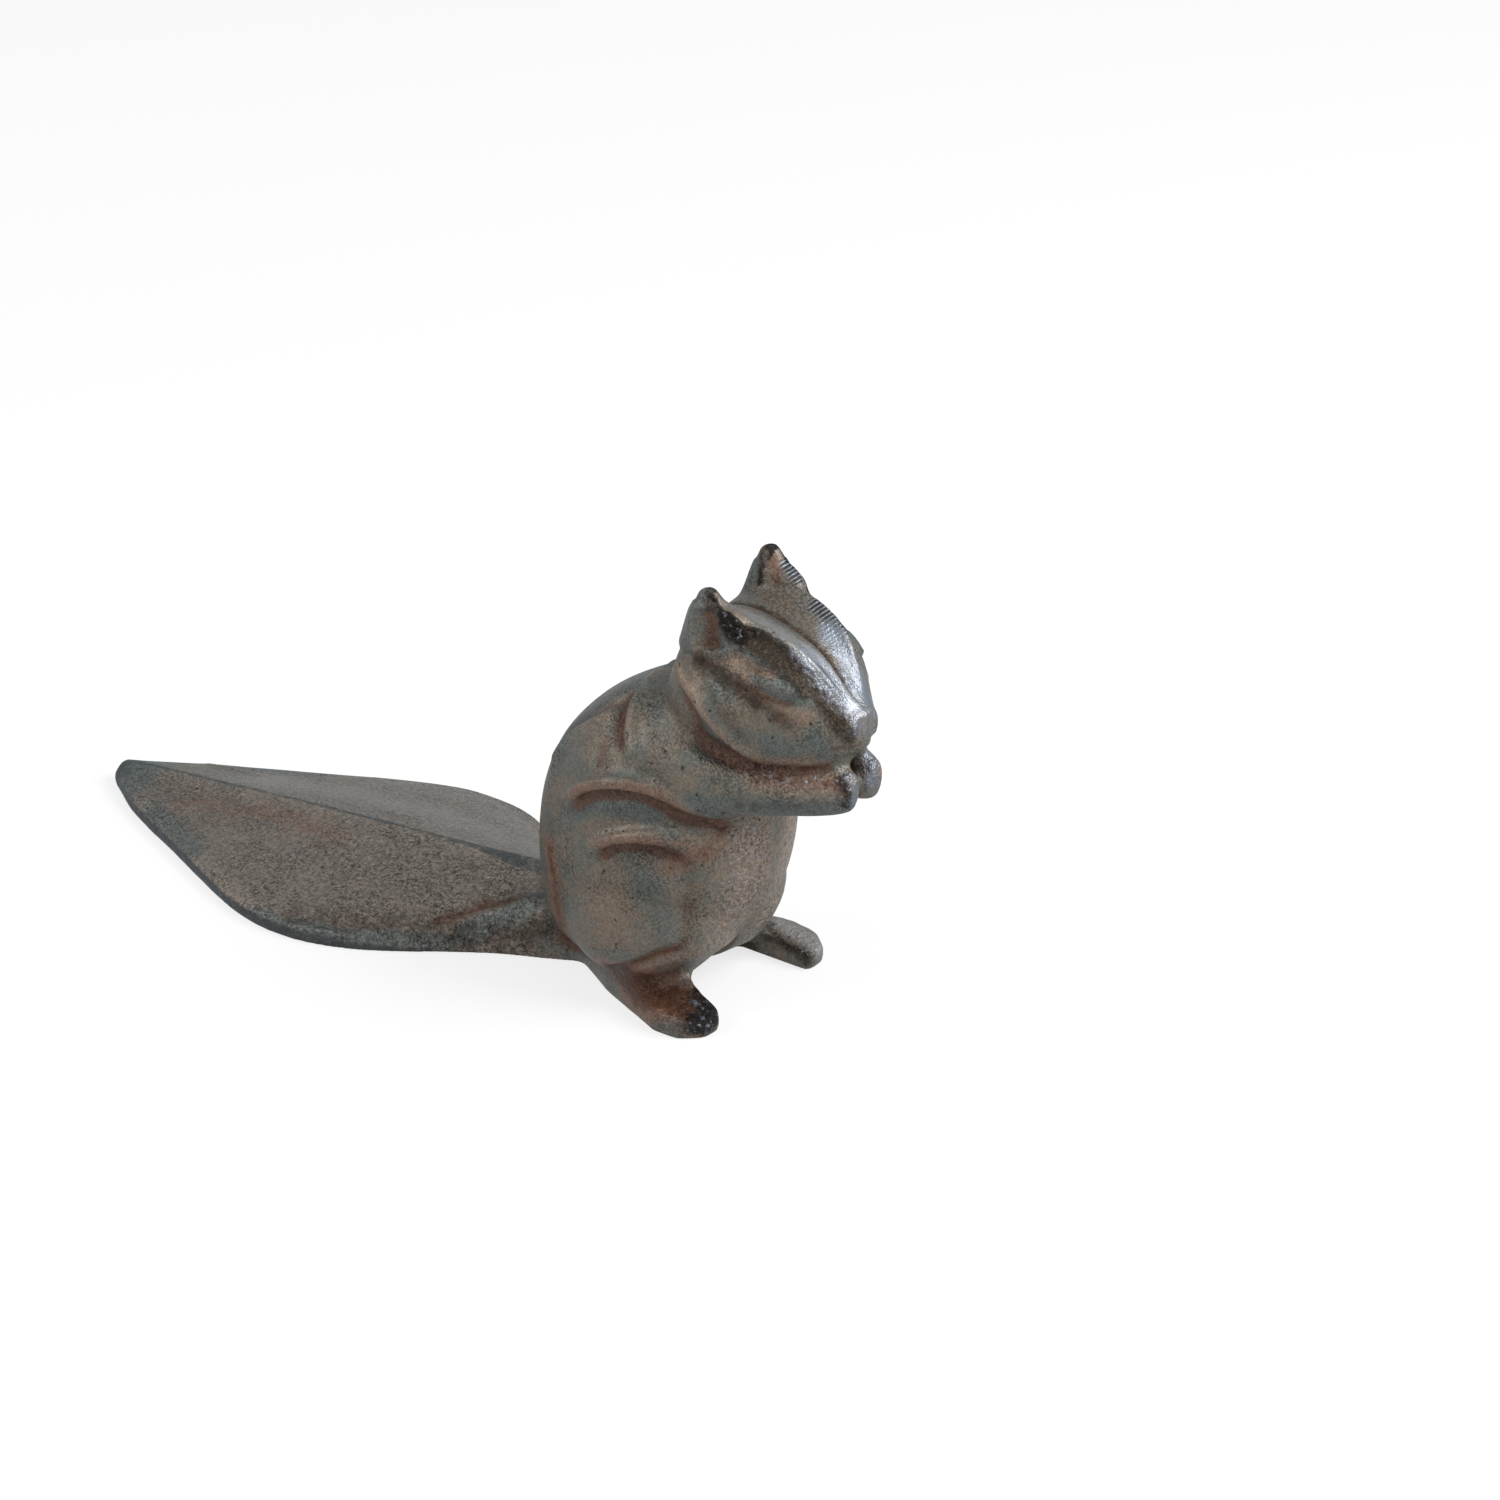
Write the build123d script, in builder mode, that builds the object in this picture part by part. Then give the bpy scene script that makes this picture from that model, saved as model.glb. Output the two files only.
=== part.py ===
from build123d import *
import os

# A cast iron door wedge in the form of a chipmunk: two hollow half castings that
# meet on the middle plane, two steel dowels that line them up and one screw that ties them.
# Nose to +X, left flank to +Y, floor at Z = 0, all in millimetres.

HALF_REACH = 40.0               # more than half the widest part of the figure
OVERCUT = 5.0                   # how far a cut runs past what it removes
RIDGE_FLAT = 0.8                # half width of the ground band along the tail ridge
CORE_MIDDLE = (49.0, 33.5)      # x and z of the middle of the hollow
CORE_RADII = (18.5, 21.0)
CORE_DEPTH = 15.0               # reach of the hollow to each side
SCREW_AXIS = (46.0, 34.0)       # x and z of the tie screw
SCREW_D = 5.0
SCREW_HEAD_D = 9.2
SCREW_HEAD_Y = 23.6             # the slotted head sits just under the left flank
SCREW_TIP_Y = -14.0
SCREW_POINT = 0.8               # chamfer at the screw's tip
SCREW_SLOT = 1.2                # width and depth of the driver slot
BORE_CLEARANCE = 0.2            # round the screw in the left half
TAP_RUN_OUT = 2.0               # tapped hole beyond the screw's tip
BOSS_D = 14.0
BOSS_LENGTH = 21.0
DOWEL_D = 4.0
DOWEL_LENGTH = 14.0
DOWEL_CHAMFER = 0.5
HEAD_DOWEL = (70.0, 75.0)       # x and z of the dowel in the skull
TAIL_DOWEL = (8.0, 6.5)         # x and z of the dowel in the tail root

# Stations of the tail from tip to root:
# x, half width at the floor, half width at the edge, edge height, ridge height
TAIL = [
    (-97, 3.0, 3.0, 3.2, 4.6),
    (-89, 8.5, 8.5, 3.2, 5.8),
    (-73, 17.0, 17.0, 3.2, 7.2),
    (-53, 26.5, 26.5, 3.2, 9.0),
    (-33, 34.6, 34.6, 3.2, 10.6),
    (-19, 35.6, 35.2, 3.4, 11.6),
    (-1, 28.8, 26.0, 4.2, 12.8),
    (15, 18.0, 15.0, 7.5, 14.2),
    (34, 8.0, 7.0, 11.0, 15.0),
]

# Level sections of the body: z, back, front, half width
BODY = [
    (4, 28, 54, 11),
    (11, 24, 64, 18.5),
    (20, 22.8, 71.0, 23.0),
    (33, 22.8, 74.8, 24.8),
    (47, 26.2, 75.2, 23.3),
    (58, 34.6, 75.0, 19.3),
    (67.5, 52, 72, 10.5),
]

# Cross sections of the head from nape to nose:
# x, brow height, brow half spacing, height between the brows, cheek half width, cheek height, throat
HEAD = [
    (50, 66, 4.0, 66, 7.0, 61, 55),
    (59, 79.5, 7.0, 79.8, 13.0, 67, 54),
    (67, 87.0, 9.0, 85.2, 16.3, 70, 54.5),
    (77, 86.3, 8.4, 84.2, 16.8, 69.5, 55.5),
    (85, 83.2, 7.2, 80.8, 14.0, 68, 56.5),
    (91, 76.4, 4.6, 75.6, 9.4, 67, 58.5),
    (97, 70.2, 2.2, 70.0, 3.8, 66.8, 62.8),
]

BAND_WIDTH = 0.55               # slope under the brow, of the way out to the cheek
BAND_DROP = 0.3                 # of the way down to the cheek
JOWL_WIDTH = 0.8                # of the cheek's half width
JOWL_LIFT = 0.35                # of the way from throat to cheek

# Rings of the ear from skull to tip: centre, half length, half thickness
EAR = [((69.5, 9.0, 79.0), 10.5, 6.0), ((68.3, 9.8, 87.5), 6.4, 3.3), ((66.0, 10.2, 93.0), 1.8, 1.2)]

# Haunch, a ball let into the flank
HAUNCH_MIDDLE = (50.0, 6.5, 21.5)
HAUNCH_R = 19.3

# Hind foot: plan outline from the rump round the toes, height at the instep and at the toes
FOOT_OUTLINE = [(27, 5), (45, 16), (62, 23.6), (68.4, 23.8), (72.6, 20.4), (73, 15.2), (64, 11.5), (36, 4)]
FOOT_CORNER_R = 2.0
INSTEP_X, FOOT_HEIGHT = 57.0, 6.2
TOE_X, TOE_HEIGHT = 73.0, 3.6

# Rings of the arm from shoulder over elbow and wrist to the paw: centre, half width, half height
ARM = [
    ((56, 10, 53), 9, 11),
    ((70, 12.5, 53), 6.6, 8.4),
    ((84, 8.2, 54), 4.6, 6.2),
    ((91, 5.0, 54.2), 4.0, 5.8),
    ((96.4, 3.8, 54.2), 2.4, 3.8),
]

# Raised lines of the coat, each an arc through three points on the left side with both ends sunk in
RIDGE_R = 1.9                   # of the square bar, corner up
RIDGES = {
    "shoulder": [(50.5, 3, 65), (52.2, 14.6, 61.8), (60, 18, 54)],
    "upper_haunch": [(39, 20, 40), (51.5, 22.8, 50.8), (67, 17.2, 47.5)],
    "lower_haunch": [(46, 22.5, 34), (56, 23.9, 40.8), (69, 13, 39.8)],
    "ruff": [(60.5, 11.5, 75), (71.5, 16, 68), (82.5, 8.5, 58.8)],
}

os.makedirs("parts", exist_ok=True)

# Hind foot: a wedge of iron that runs from the rump out to the toes, lower towards the toes
with BuildPart() as foot:
    with BuildSketch():
        with BuildLine():
            FilletPolyline(FOOT_OUTLINE, radius=FOOT_CORNER_R, close=True)
        make_face()
    extrude(amount=FOOT_HEIGHT)
    with BuildSketch(Plane.XZ):
        Polygon(
            (INSTEP_X, FOOT_HEIGHT), (TOE_X, TOE_HEIGHT), (TOE_X + OVERCUT, TOE_HEIGHT),
            (TOE_X + OVERCUT, FOOT_HEIGHT), align=None,
        )
    extrude(amount=-HALF_REACH, mode=Mode.SUBTRACT)

# One full figure with its left ear, haunch, arm and foot, cut on the middle plane
with BuildPart() as casting:
    # Tail: a flat leaf of hexagons with a ridge along the middle
    for x, floor, half, edge, ridge in TAIL:
        with BuildSketch(Plane((x, 0, 0), x_dir=(0, 1, 0), z_dir=(1, 0, 0))):
            Polygon(
                (-floor, 0), (floor, 0), (half, edge),
                (RIDGE_FLAT, ridge), (-RIDGE_FLAT, ridge), (-half, edge), align=None,
            )
    loft()
    # Body: an egg that leans forward
    for z, back, front, half in BODY:
        with BuildSketch(Plane.XY.offset(z)):
            with Locations(((back + front) / 2, 0)):
                Ellipse((front - back) / 2, half)
    loft()
    # Head: two brow edges, a shallow dip between them, a flat slope under each brow, cheeks and throat
    for x, brow, gap, dip, cheek, cheek_z, throat in HEAD:
        jowl = (cheek * JOWL_WIDTH, throat + JOWL_LIFT * (cheek_z - throat))
        band = (gap + BAND_WIDTH * (cheek - gap), brow - BAND_DROP * (brow - cheek_z))
        with BuildSketch(Plane((x, 0, 0), x_dir=(0, 1, 0), z_dir=(1, 0, 0))):
            with BuildLine():
                Spline((-gap, brow), (0, dip), (gap, brow))
                Spline(
                    (gap, brow), band, (cheek, cheek_z), jowl, (0, throat),
                    (-jowl[0], jowl[1]), (-cheek, cheek_z), (-band[0], band[1]), (-gap, brow),
                )
            make_face()
    loft()
    for centre, half_x, half_y in EAR:
        with BuildSketch(Plane(centre)):
            Ellipse(half_x, half_y)
    loft(ruled=True)
    with Locations(HAUNCH_MIDDLE):
        Sphere(HAUNCH_R)
    # Arm: raised forward, with the paw under the chin
    for centre, half_y, half_z in ARM:
        with BuildSketch(Plane(centre, x_dir=(0, 1, 0), z_dir=(1, 0, 0))):
            Ellipse(half_y, half_z)
    loft()
    add(foot.part)
    # Ridges along the shoulder, the haunch and the ruff
    for points in RIDGES.values():
        with BuildLine() as run:
            ThreePointArc(*points)
        arc = run.line.edge()
        with BuildSketch(Plane(arc @ 0, x_dir=arc.normal(), z_dir=arc % 0)):
            RegularPolygon(RIDGE_R, 4)
        sweep()
    # Hollow left by the core, the boss that crosses it for the screw, and the dowel holes
    with BuildSketch(Plane.XZ):
        with Locations(CORE_MIDDLE):
            Ellipse(*CORE_RADII)
    extrude(amount=CORE_DEPTH, both=True, mode=Mode.SUBTRACT)
    with BuildSketch(Plane.XZ):
        with Locations(SCREW_AXIS):
            Circle(BOSS_D / 2)
    extrude(amount=-BOSS_LENGTH)
    with BuildSketch(Plane.XZ):
        with Locations(HEAD_DOWEL, TAIL_DOWEL):
            Circle(DOWEL_D / 2)
    extrude(amount=-(DOWEL_LENGTH / 2 + DOWEL_CHAMFER), mode=Mode.SUBTRACT)
    split(bisect_by=Plane.XZ, keep=Keep.BOTTOM)

# Left half: the screw passes through and its head is countersunk in the flank
screw_plane = Plane((SCREW_AXIS[0], 0, SCREW_AXIS[1]), x_dir=(1, 0, 0), z_dir=(0, 1, 0))
with BuildPart() as left_half:
    add(casting.part)
    with Locations(screw_plane.offset(SCREW_HEAD_Y)):
        CounterSinkHole(
            SCREW_D / 2 + BORE_CLEARANCE, SCREW_HEAD_D / 2, depth=SCREW_HEAD_Y, counter_sink_angle=90
        )
    with BuildSketch(screw_plane.offset(SCREW_HEAD_Y)):
        Circle(SCREW_HEAD_D / 2)
    extrude(amount=OVERCUT, mode=Mode.SUBTRACT)
left_half.part.label = "left_half"
export_step(left_half.part, "parts/left_half.step")

# Right half: the mirror image, with a blind tapped hole in its boss
with BuildPart() as right_half:
    mirror(casting.part, about=Plane.XZ)
    with BuildSketch(screw_plane):
        Circle(SCREW_D / 2)
    extrude(amount=SCREW_TIP_Y - TAP_RUN_OUT, mode=Mode.SUBTRACT)
right_half.part.label = "right_half"
export_step(right_half.part, "parts/right_half.step")

# Slotted countersunk screw along Y
with BuildPart() as tie_screw:
    with BuildSketch(Plane.XY):
        with BuildLine():
            Polyline(
                (0, SCREW_TIP_Y),
                (SCREW_D / 2 - SCREW_POINT, SCREW_TIP_Y),
                (SCREW_D / 2, SCREW_TIP_Y + SCREW_POINT),
                (SCREW_D / 2, SCREW_HEAD_Y - (SCREW_HEAD_D - SCREW_D) / 2),
                (SCREW_HEAD_D / 2, SCREW_HEAD_Y),
                (0, SCREW_HEAD_Y),
                close=True,
            )
        make_face()
    revolve(axis=Axis.Y)
    with Locations((0, SCREW_HEAD_Y, 0)):
        Box(SCREW_HEAD_D + 1, 2 * SCREW_SLOT, SCREW_SLOT, mode=Mode.SUBTRACT)
tie_screw.part.label = "tie_screw"
tie_screw.part.position = (SCREW_AXIS[0], 0, SCREW_AXIS[1])
export_step(tie_screw.part, "parts/tie_screw.step")

# Steel dowels, half in each casting
for name, centre in {"head_dowel": HEAD_DOWEL, "tail_dowel": TAIL_DOWEL}.items():
    with BuildPart() as dowel:
        with BuildSketch(Plane.XZ.offset(-DOWEL_LENGTH / 2)):
            with Locations(centre):
                Circle(DOWEL_D / 2)
        extrude(amount=DOWEL_LENGTH)
        chamfer(dowel.edges().filter_by(GeomType.CIRCLE), length=DOWEL_CHAMFER)
    dowel.part.label = name
    export_step(dowel.part, f"parts/{name}.step")
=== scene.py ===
import math

import bmesh
import bpy
import numpy as np
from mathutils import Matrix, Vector, noise
from mathutils.bvhtree import BVHTree
from mathutils.kdtree import KDTree


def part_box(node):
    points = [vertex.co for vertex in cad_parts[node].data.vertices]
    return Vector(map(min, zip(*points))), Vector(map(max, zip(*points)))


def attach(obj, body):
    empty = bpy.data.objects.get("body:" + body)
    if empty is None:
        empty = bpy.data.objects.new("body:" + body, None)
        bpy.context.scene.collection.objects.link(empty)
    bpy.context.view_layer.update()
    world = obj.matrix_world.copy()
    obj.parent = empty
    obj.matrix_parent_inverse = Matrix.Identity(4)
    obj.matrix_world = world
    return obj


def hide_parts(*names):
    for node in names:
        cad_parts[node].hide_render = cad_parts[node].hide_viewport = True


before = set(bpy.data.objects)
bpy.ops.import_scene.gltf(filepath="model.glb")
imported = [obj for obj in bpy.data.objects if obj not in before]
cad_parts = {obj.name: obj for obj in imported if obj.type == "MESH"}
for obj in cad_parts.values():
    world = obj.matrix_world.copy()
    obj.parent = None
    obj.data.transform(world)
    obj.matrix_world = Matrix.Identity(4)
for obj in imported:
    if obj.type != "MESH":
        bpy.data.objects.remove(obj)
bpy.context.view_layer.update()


# The two half castings: sand cast iron, right and left, ground flat where they meet on
# the middle plane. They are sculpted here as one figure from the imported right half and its
# mirror image, then sawn apart on the joint and bored for the dowels and the screw.
MM = 0.001                       # sizes and points are in millimetres, the scene is in metres
GRIT = 0.5                       # spacing of the sculpted skin
FILLET = 1.7                     # soft fillets where the head, arms, haunches and feet run in
PAW_FILLET = 0.7                 # tighter between the paws and on the brow
# passes that smooth the voxel steps, the skin, the worn edges and the carving
VOXEL_ROUNDS, SKIN_ROUNDS, EDGE_ROUNDS, CARVE_ROUNDS = 3, 6, 14, 2


def finished(item):
    """The mesh of an object with its modifiers carried out."""
    depsgraph = bpy.context.evaluated_depsgraph_get()
    return bpy.data.meshes.new_from_object(item.evaluated_get(depsgraph))


def voxel_skin(mesh, size):
    lump = bpy.data.objects.new("lump", mesh)
    bpy.context.collection.objects.link(lump)
    grid = lump.modifiers.new("grid", "REMESH")
    grid.mode = "VOXEL"
    grid.voxel_size = size * MM
    skin = finished(lump)
    bpy.data.objects.remove(lump)
    return skin


def points_of(mesh):
    co = np.empty(len(mesh.vertices) * 3)
    mesh.vertices.foreach_get("co", co)
    return co.reshape(-1, 3) / MM


def normals_of(mesh):
    no = np.empty(len(mesh.vertices) * 3)
    mesh.vertices.foreach_get("normal", no)
    return no.reshape(-1, 3)


def set_points(mesh, co):
    mesh.vertices.foreach_set("co", (co * MM).ravel())
    mesh.update()


def edges_of(mesh):
    pair = np.empty(len(mesh.edges) * 2, dtype=np.int64)
    mesh.edges.foreach_get("vertices", pair)
    return pair.reshape(-1, 2)


def neighbour_mean(values, pair):
    count = np.bincount(pair.ravel(), minlength=len(values))
    total = np.empty_like(values)
    for k in range(values.shape[1]):
        ahead = np.bincount(pair[:, 0], values[pair[:, 1], k], len(values))
        total[:, k] = ahead + np.bincount(pair[:, 1], values[pair[:, 0], k], len(values))
    return total / count[:, None]


def relax(co, pair, rounds):
    """Smooth without loss of size: each round draws the skin in and lets it out again."""
    for turn in range(rounds):
        for pull in (0.5, -0.52):
            co = co + pull * (neighbour_mean(co, pair) - co)
    return co


def soften(co, pair, rounds, weight):
    """Round off where the weight is high, as hands and years do."""
    for turn in range(rounds):
        co = co + 0.5 * weight[:, None] * (neighbour_mean(co, pair) - co)
    return co


def rise(value, low, high):
    """0 below low, 1 above high, and a smooth step between."""
    t = np.clip((value - low) / (high - low), 0, 1)
    return t * t * (3 - 2 * t)


def outer_skin(mesh):
    """Only the skin that joins the nose: the walls of the hollow inside go."""
    shell = bmesh.new()
    shell.from_mesh(mesh)
    todo = [max(shell.verts, key=lambda point: point.co.x)]
    kept = set(todo)
    while todo:
        point = todo.pop()
        for edge in point.link_edges:
            other = edge.other_vert(point)
            if other not in kept:
                kept.add(other)
                todo.append(other)
    walls = [point for point in shell.verts if point not in kept]
    bmesh.ops.delete(shell, geom=walls, context="VERTS")
    shell.to_mesh(mesh)
    shell.free()
    return mesh


# the right half without its joint face, and its mirror image
half = bmesh.new()
half.from_mesh(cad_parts["right_half"].data)
joint_face = [face for face in half.faces if all(abs(corner.co.y) < 1e-6 for corner in face.verts)]
bmesh.ops.delete(half, geom=joint_face, context="FACES")
twin = bmesh.ops.duplicate(half, geom=half.verts[:] + half.edges[:] + half.faces[:])["geom"]
for item in twin:
    if isinstance(item, bmesh.types.BMVert):
        item.co.y = -item.co.y
bmesh.ops.reverse_faces(half, faces=[item for item in twin if isinstance(item, bmesh.types.BMFace)])
clay = bpy.data.meshes.new("clay")
half.to_mesh(clay)
half.free()


def fillet_at(co):
    """The fillet's radius at each point, tighter at the paws and the brow."""
    paw = rise(co[:, 0], 82, 90) * rise(co[:, 2], 44, 47) * (1 - rise(co[:, 2], 57, 61))
    brow = rise(co[:, 0], 66, 70) * rise(co[:, 2], 66, 74)
    tight = np.maximum(paw, brow)
    return (FILLET + (PAW_FILLET - FILLET) * tight)[:, None]


# one skin, swelled and drawn back so that inner corners are left filled, then smoothed
figure = outer_skin(voxel_skin(clay, GRIT))
co = points_of(figure)
set_points(figure, co + fillet_at(co) * normals_of(figure))
figure = outer_skin(voxel_skin(figure, GRIT))
co = points_of(figure)
set_points(figure, co - fillet_at(co) * normals_of(figure))
figure = outer_skin(voxel_skin(figure, GRIT))
pair = edges_of(figure)
co = relax(points_of(figure), pair, VOXEL_ROUNDS)
crisp = rise(co[:, 0], 68, 72) * rise(co[:, 2], 74, 78)
co = co + (1 - 0.5 * crisp)[:, None] * (relax(co, pair, SKIN_ROUNDS) - co)

# rounded feet, paws, nose and ears, and a rubbed edge all round the tail
x, y, z = co.T
side = np.abs(y)
foot = rise(x, 40, 50) * (1 - rise(z, 7, 10))
paw = rise(x, 88, 91) * rise(z, 44, 47) * (1 - rise(z, 57, 60))
nose = rise(x, 91, 95) * rise(z, 57, 60)
ear = rise(z, 87, 90)
tail_edge = (1 - rise(x, 20, 30)) * rise(side, 1.5, 3.5) * rise(z, 1.0, 2.5) * 0.35
floor_edge = 0.5 * (1 - rise(z, 0.8, 2.2))
handled = np.maximum.reduce([0.6 * foot, 0.7 * paw, nose, 0.5 * ear, tail_edge, floor_edge])
co = soften(co, pair, EDGE_ROUNDS, handled)
set_points(figure, co)

# Carved lines, each a run of points on the right side: width and height of the bead, or depth
# of the groove where the height is below zero, and how much rust lies in it
LINES = {
    # ears, brows, eyes and cheeks
    "ear_front_rim": (1.3, 0.7, 0.0, [
        (68.5, -12, 90.5), (71, -13, 87.5), (72.5, -13.5, 84), (74.5, -14.3, 81),
    ]),
    "ear_back_rim": (1.2, 0.6, 0.0, [
        (65.2, -11.8, 90.5), (64.3, -12.5, 87), (64.5, -13.4, 83), (66, -14.5, 79.5),
    ]),
    "ear_cup": (2.8, -2.0, 0.75, [
        (67.2, -12.5, 89.5), (68.4, -13, 87), (69.2, -14, 83.5), (69.9, -14.6, 81),
    ]),
    "brow_crest": (0.9, 0.5, 0.0, [
        (70, -9.2, 87.5), (77, -8.4, 86.3), (81, -7.8, 85.1), (85, -7.2, 83.2), (88, -6.1, 80.2),
        (91, -4.6, 76.4), (94.5, -3.2, 72.5),
    ]),
    "seam": (0.7, -0.5, 0.3, [
        (63, 0, 83.5), (70, 0, 85), (77, 0, 84.2), (85, 0, 80.8), (91, 0, 75.6), (95.5, 0, 71.3),
    ]),
    "brow_slope": (2.1, -0.5, 0.0, [
        (73, -11.2, 86.3), (77, -10.4, 84.3), (81, -9.8, 82.8), (85, -8.9, 81), (88, -8, 77.8),
        (91, -6.5, 74.5),
    ]),
    "brow_rim": (1.9, 0.4, 0.0, [
        (74.5, -12.6, 84), (77.5, -12.2, 82), (82, -11.6, 81), (86, -10.5, 78.5), (88, -10, 75.5),
        (90.5, -9, 72),
    ]),
    "under_brow": (1.2, -0.4, 0.0, [
        (71, -13.5, 85), (73.5, -13.5, 82.5), (77.5, -13.6, 80.3), (81, -13, 79.3),
    ]),
    "eye_ball": (1.9, 1.2, 0.0, [
        (80.8, -13.9, 77.8), (83.3, -12.9, 77), (85.6, -11.7, 76.2), (87.2, -11.1, 75.2),
    ]),
    "eye_lid": (0.8, -0.5, 0.2, [
        (79.3, -14.2, 79), (82, -12.9, 79.2), (85, -11.7, 78), (87.6, -11, 76),
    ]),
    "under_eye": (1.0, -0.7, 0.3, [
        (79.5, -14.8, 76.6), (82.3, -14.4, 75.2), (85, -13.3, 74), (88, -11.2, 73),
    ]),
    "cheek_bead": (1.7, 0.5, 0.0, [
        (74, -14.5, 80), (78.5, -14.8, 77.2), (82, -14.5, 74.2), (86.5, -12.5, 72), (90, -9.5, 71),
    ]),
    "cheek_stripe": (2.6, -1.1, 0.5, [
        (66.5, -14.6, 78.6), (69, -15, 78.3), (72.5, -15.5, 77.7), (76.5, -15.6, 76.3),
        (81, -15.1, 73.8), (84.5, -14, 71.3), (87.5, -12.5, 69.5),
    ]),
    "mouth": (0.8, -0.5, 0.6, [(96.5, -0.5, 64.2), (95, -3.5, 63.8), (92, -7, 63.4)]),
    "nose_line": (0.7, -0.5, 0.8, [(97, -2.2, 70), (97.2, -2.6, 67.5), (96.6, -2.2, 64.8)]),
    # neck, arms and back
    "ruff_bead": (1.5, 0.7, 0.0, [
        (65.5, -15.5, 74), (69, -16.5, 71), (73, -17.5, 67.5), (77, -16, 63.5), (79.5, -12.5, 60),
    ]),
    "ruff_groove": (1.4, -0.4, 0.2, [
        (69, -16.5, 75), (73, -17, 71.5), (77, -16.5, 67.5), (80, -15, 64),
    ]),
    "neck_groove": (1.8, -1.1, 0.75, [
        (63, -15, 71), (66.5, -16, 67), (69, -14.5, 61.8), (73.5, -15, 60), (78, -14, 58.5),
        (81.5, -13, 58),
    ]),
    "jaw_line": (1.1, 0.3, 0.6, [
        (77.5, -13, 60), (84.5, -11.5, 60.3), (89.5, -8, 60.3), (93, -5.5, 61),
    ]),
    "arm_top_groove": (1.0, -0.4, 0.8, [
        (79, -13.5, 58.5), (84, -12, 59), (89, -8.5, 59), (93.5, -6, 59.4),
    ]),
    "shoulder_bead": (1.8, 0.8, 0.0, [
        (47.5, -1.5, 66.8), (48.5, -3.5, 66.7), (50.5, -9, 66), (51, -13, 64.5), (52, -16.5, 62.3),
        (53, -18.8, 58.8), (56, -20.3, 55.5),
    ]),
    "shoulder_groove": (1.6, -1.3, 0.85, [
        (46.5, -7, 64.8), (46.8, -10, 64), (47.8, -13.5, 62.3), (49.8, -17.3, 59.5),
        (53.5, -20, 56),
    ]),
    "back_bead": (1.6, 0.9, 0.0, [
        (47, -13, 62), (44, -14, 60), (39.5, -14.2, 57), (35.5, -13.8, 53.5), (33, -14, 49.5),
        (31.5, -15.5, 45.5),
    ]),
    "back_groove": (1.6, -1.1, 0.35, [
        (46.8, -9.6, 63.7), (44, -11.3, 61.5), (40, -12, 58.3), (35.5, -11.6, 54.8),
        (31.5, -11.2, 50.5),
    ]),
    "flank_groove": (2.4, -0.5, 0.5, [(47.5, -17, 58.8), (47, -20, 55.5), (47.5, -22, 53)]),
    # haunch and foot
    "upper_arc": (1.6, 0.35, 0.62, [
        (39.5, -22.5, 43.5), (45.5, -24, 48.5), (50.5, -24, 51), (57, -23, 52), (62, -21.5, 51.3),
        (66.5, -19, 48.8), (72, -14, 45.5),
    ]),
    "upper_arc_groove": (1.4, -1.3, 0.8, [
        (41, -23.5, 41.5), (46.5, -24.3, 46.3), (52, -23.8, 48.6), (57.5, -22.8, 49.4),
        (62, -21, 48.6), (66.5, -18.3, 46), (71, -15, 44), (74, -9, 41.5),
    ]),
    "lower_arc": (1.6, 0.35, 0.62, [
        (48.5, -25.5, 37), (54.5, -25.5, 40.5), (60, -24, 41.5), (64.5, -20.5, 41),
        (69.5, -15, 39.5),
    ]),
    "lower_arc_groove": (1.4, -1.3, 0.8, [
        (49, -25, 34), (54, -25, 37.8), (59, -23.5, 39), (63, -20.8, 38), (67.5, -17.5, 36),
    ]),
    "thigh_groove": (2.2, -0.8, 0.35, [
        (66.5, -18, 36.5), (67, -17, 29.5), (65.5, -17, 20.5), (65, -16.5, 16.5),
    ]),
    "ankle_groove": (1.5, -1.1, 1.0, [
        (46, -17, 6), (52, -21.5, 9.5), (57, -22.3, 12), (62, -20.5, 15), (66, -16, 16.5),
    ]),
    # tail
    "tail_root_bead": (1.6, 0.8, 0.3, [
        (7, -20, 2.5), (9.5, -17.5, 5), (14, -14, 8.3), (20, -11, 10.5), (25, -9.5, 12),
    ]),
    "tail_root_groove": (1.8, -0.8, 0.6, [
        (3, -21, 5), (7, -17.5, 7), (12.5, -13.5, 9.5), (19, -9.5, 11.5),
    ]),
    "tail_valley": (2.2, -0.6, 0.3, [
        (-28, -33.5, 2.6), (-18, -33, 3.6), (-8.5, -29, 4.5), (0, -24.3, 5), (5, -20.6, 5.2),
    ]),
    "tail_vein": (0.9, 0.35, 0.0, [(-25, -34.5, 3.2), (-21, -31.5, 4), (-17.5, -28, 5)]),
    "tail_scar": (0.9, 0.35, 0.0, [(-30, -6.5, 9.5), (-24.5, -6.5, 10), (-20, -6, 10.5)]),
    "tip_line": (0.9, 0.3, 0.0, [(-83.5, -10.5, 3.5), (-75.5, -10.5, 4.5), (-67, -10, 5.5)]),
}

skin_faces = [tuple(face.vertices) for face in figure.polygons]
skin_tree = BVHTree.FromPolygons([tuple(point) for point in co], skin_faces)


def smooth_run(points, steps=10):
    """Points along a smooth curve through the given ones."""
    run = np.array(points, float)
    run = np.vstack([2 * run[0] - run[1], run, 2 * run[-1] - run[-2]])
    out = []
    for a, b, c, d in zip(run[:-3], run[1:-2], run[2:-1], run[3:]):
        for t in np.arange(steps) / steps:
            bend, twist = 2 * a - 5 * b + 4 * c - d, 3 * b - a - 3 * c + d
            out.append(0.5 * (2 * b + (c - a) * t + bend * t**2 + twist * t**3))
    out.append(run[-2])
    return np.array(out)


REACH = 2.6                      # widths at which a line has faded out
TAPER = 0.14                     # share of a carved line over which each end runs out


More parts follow.
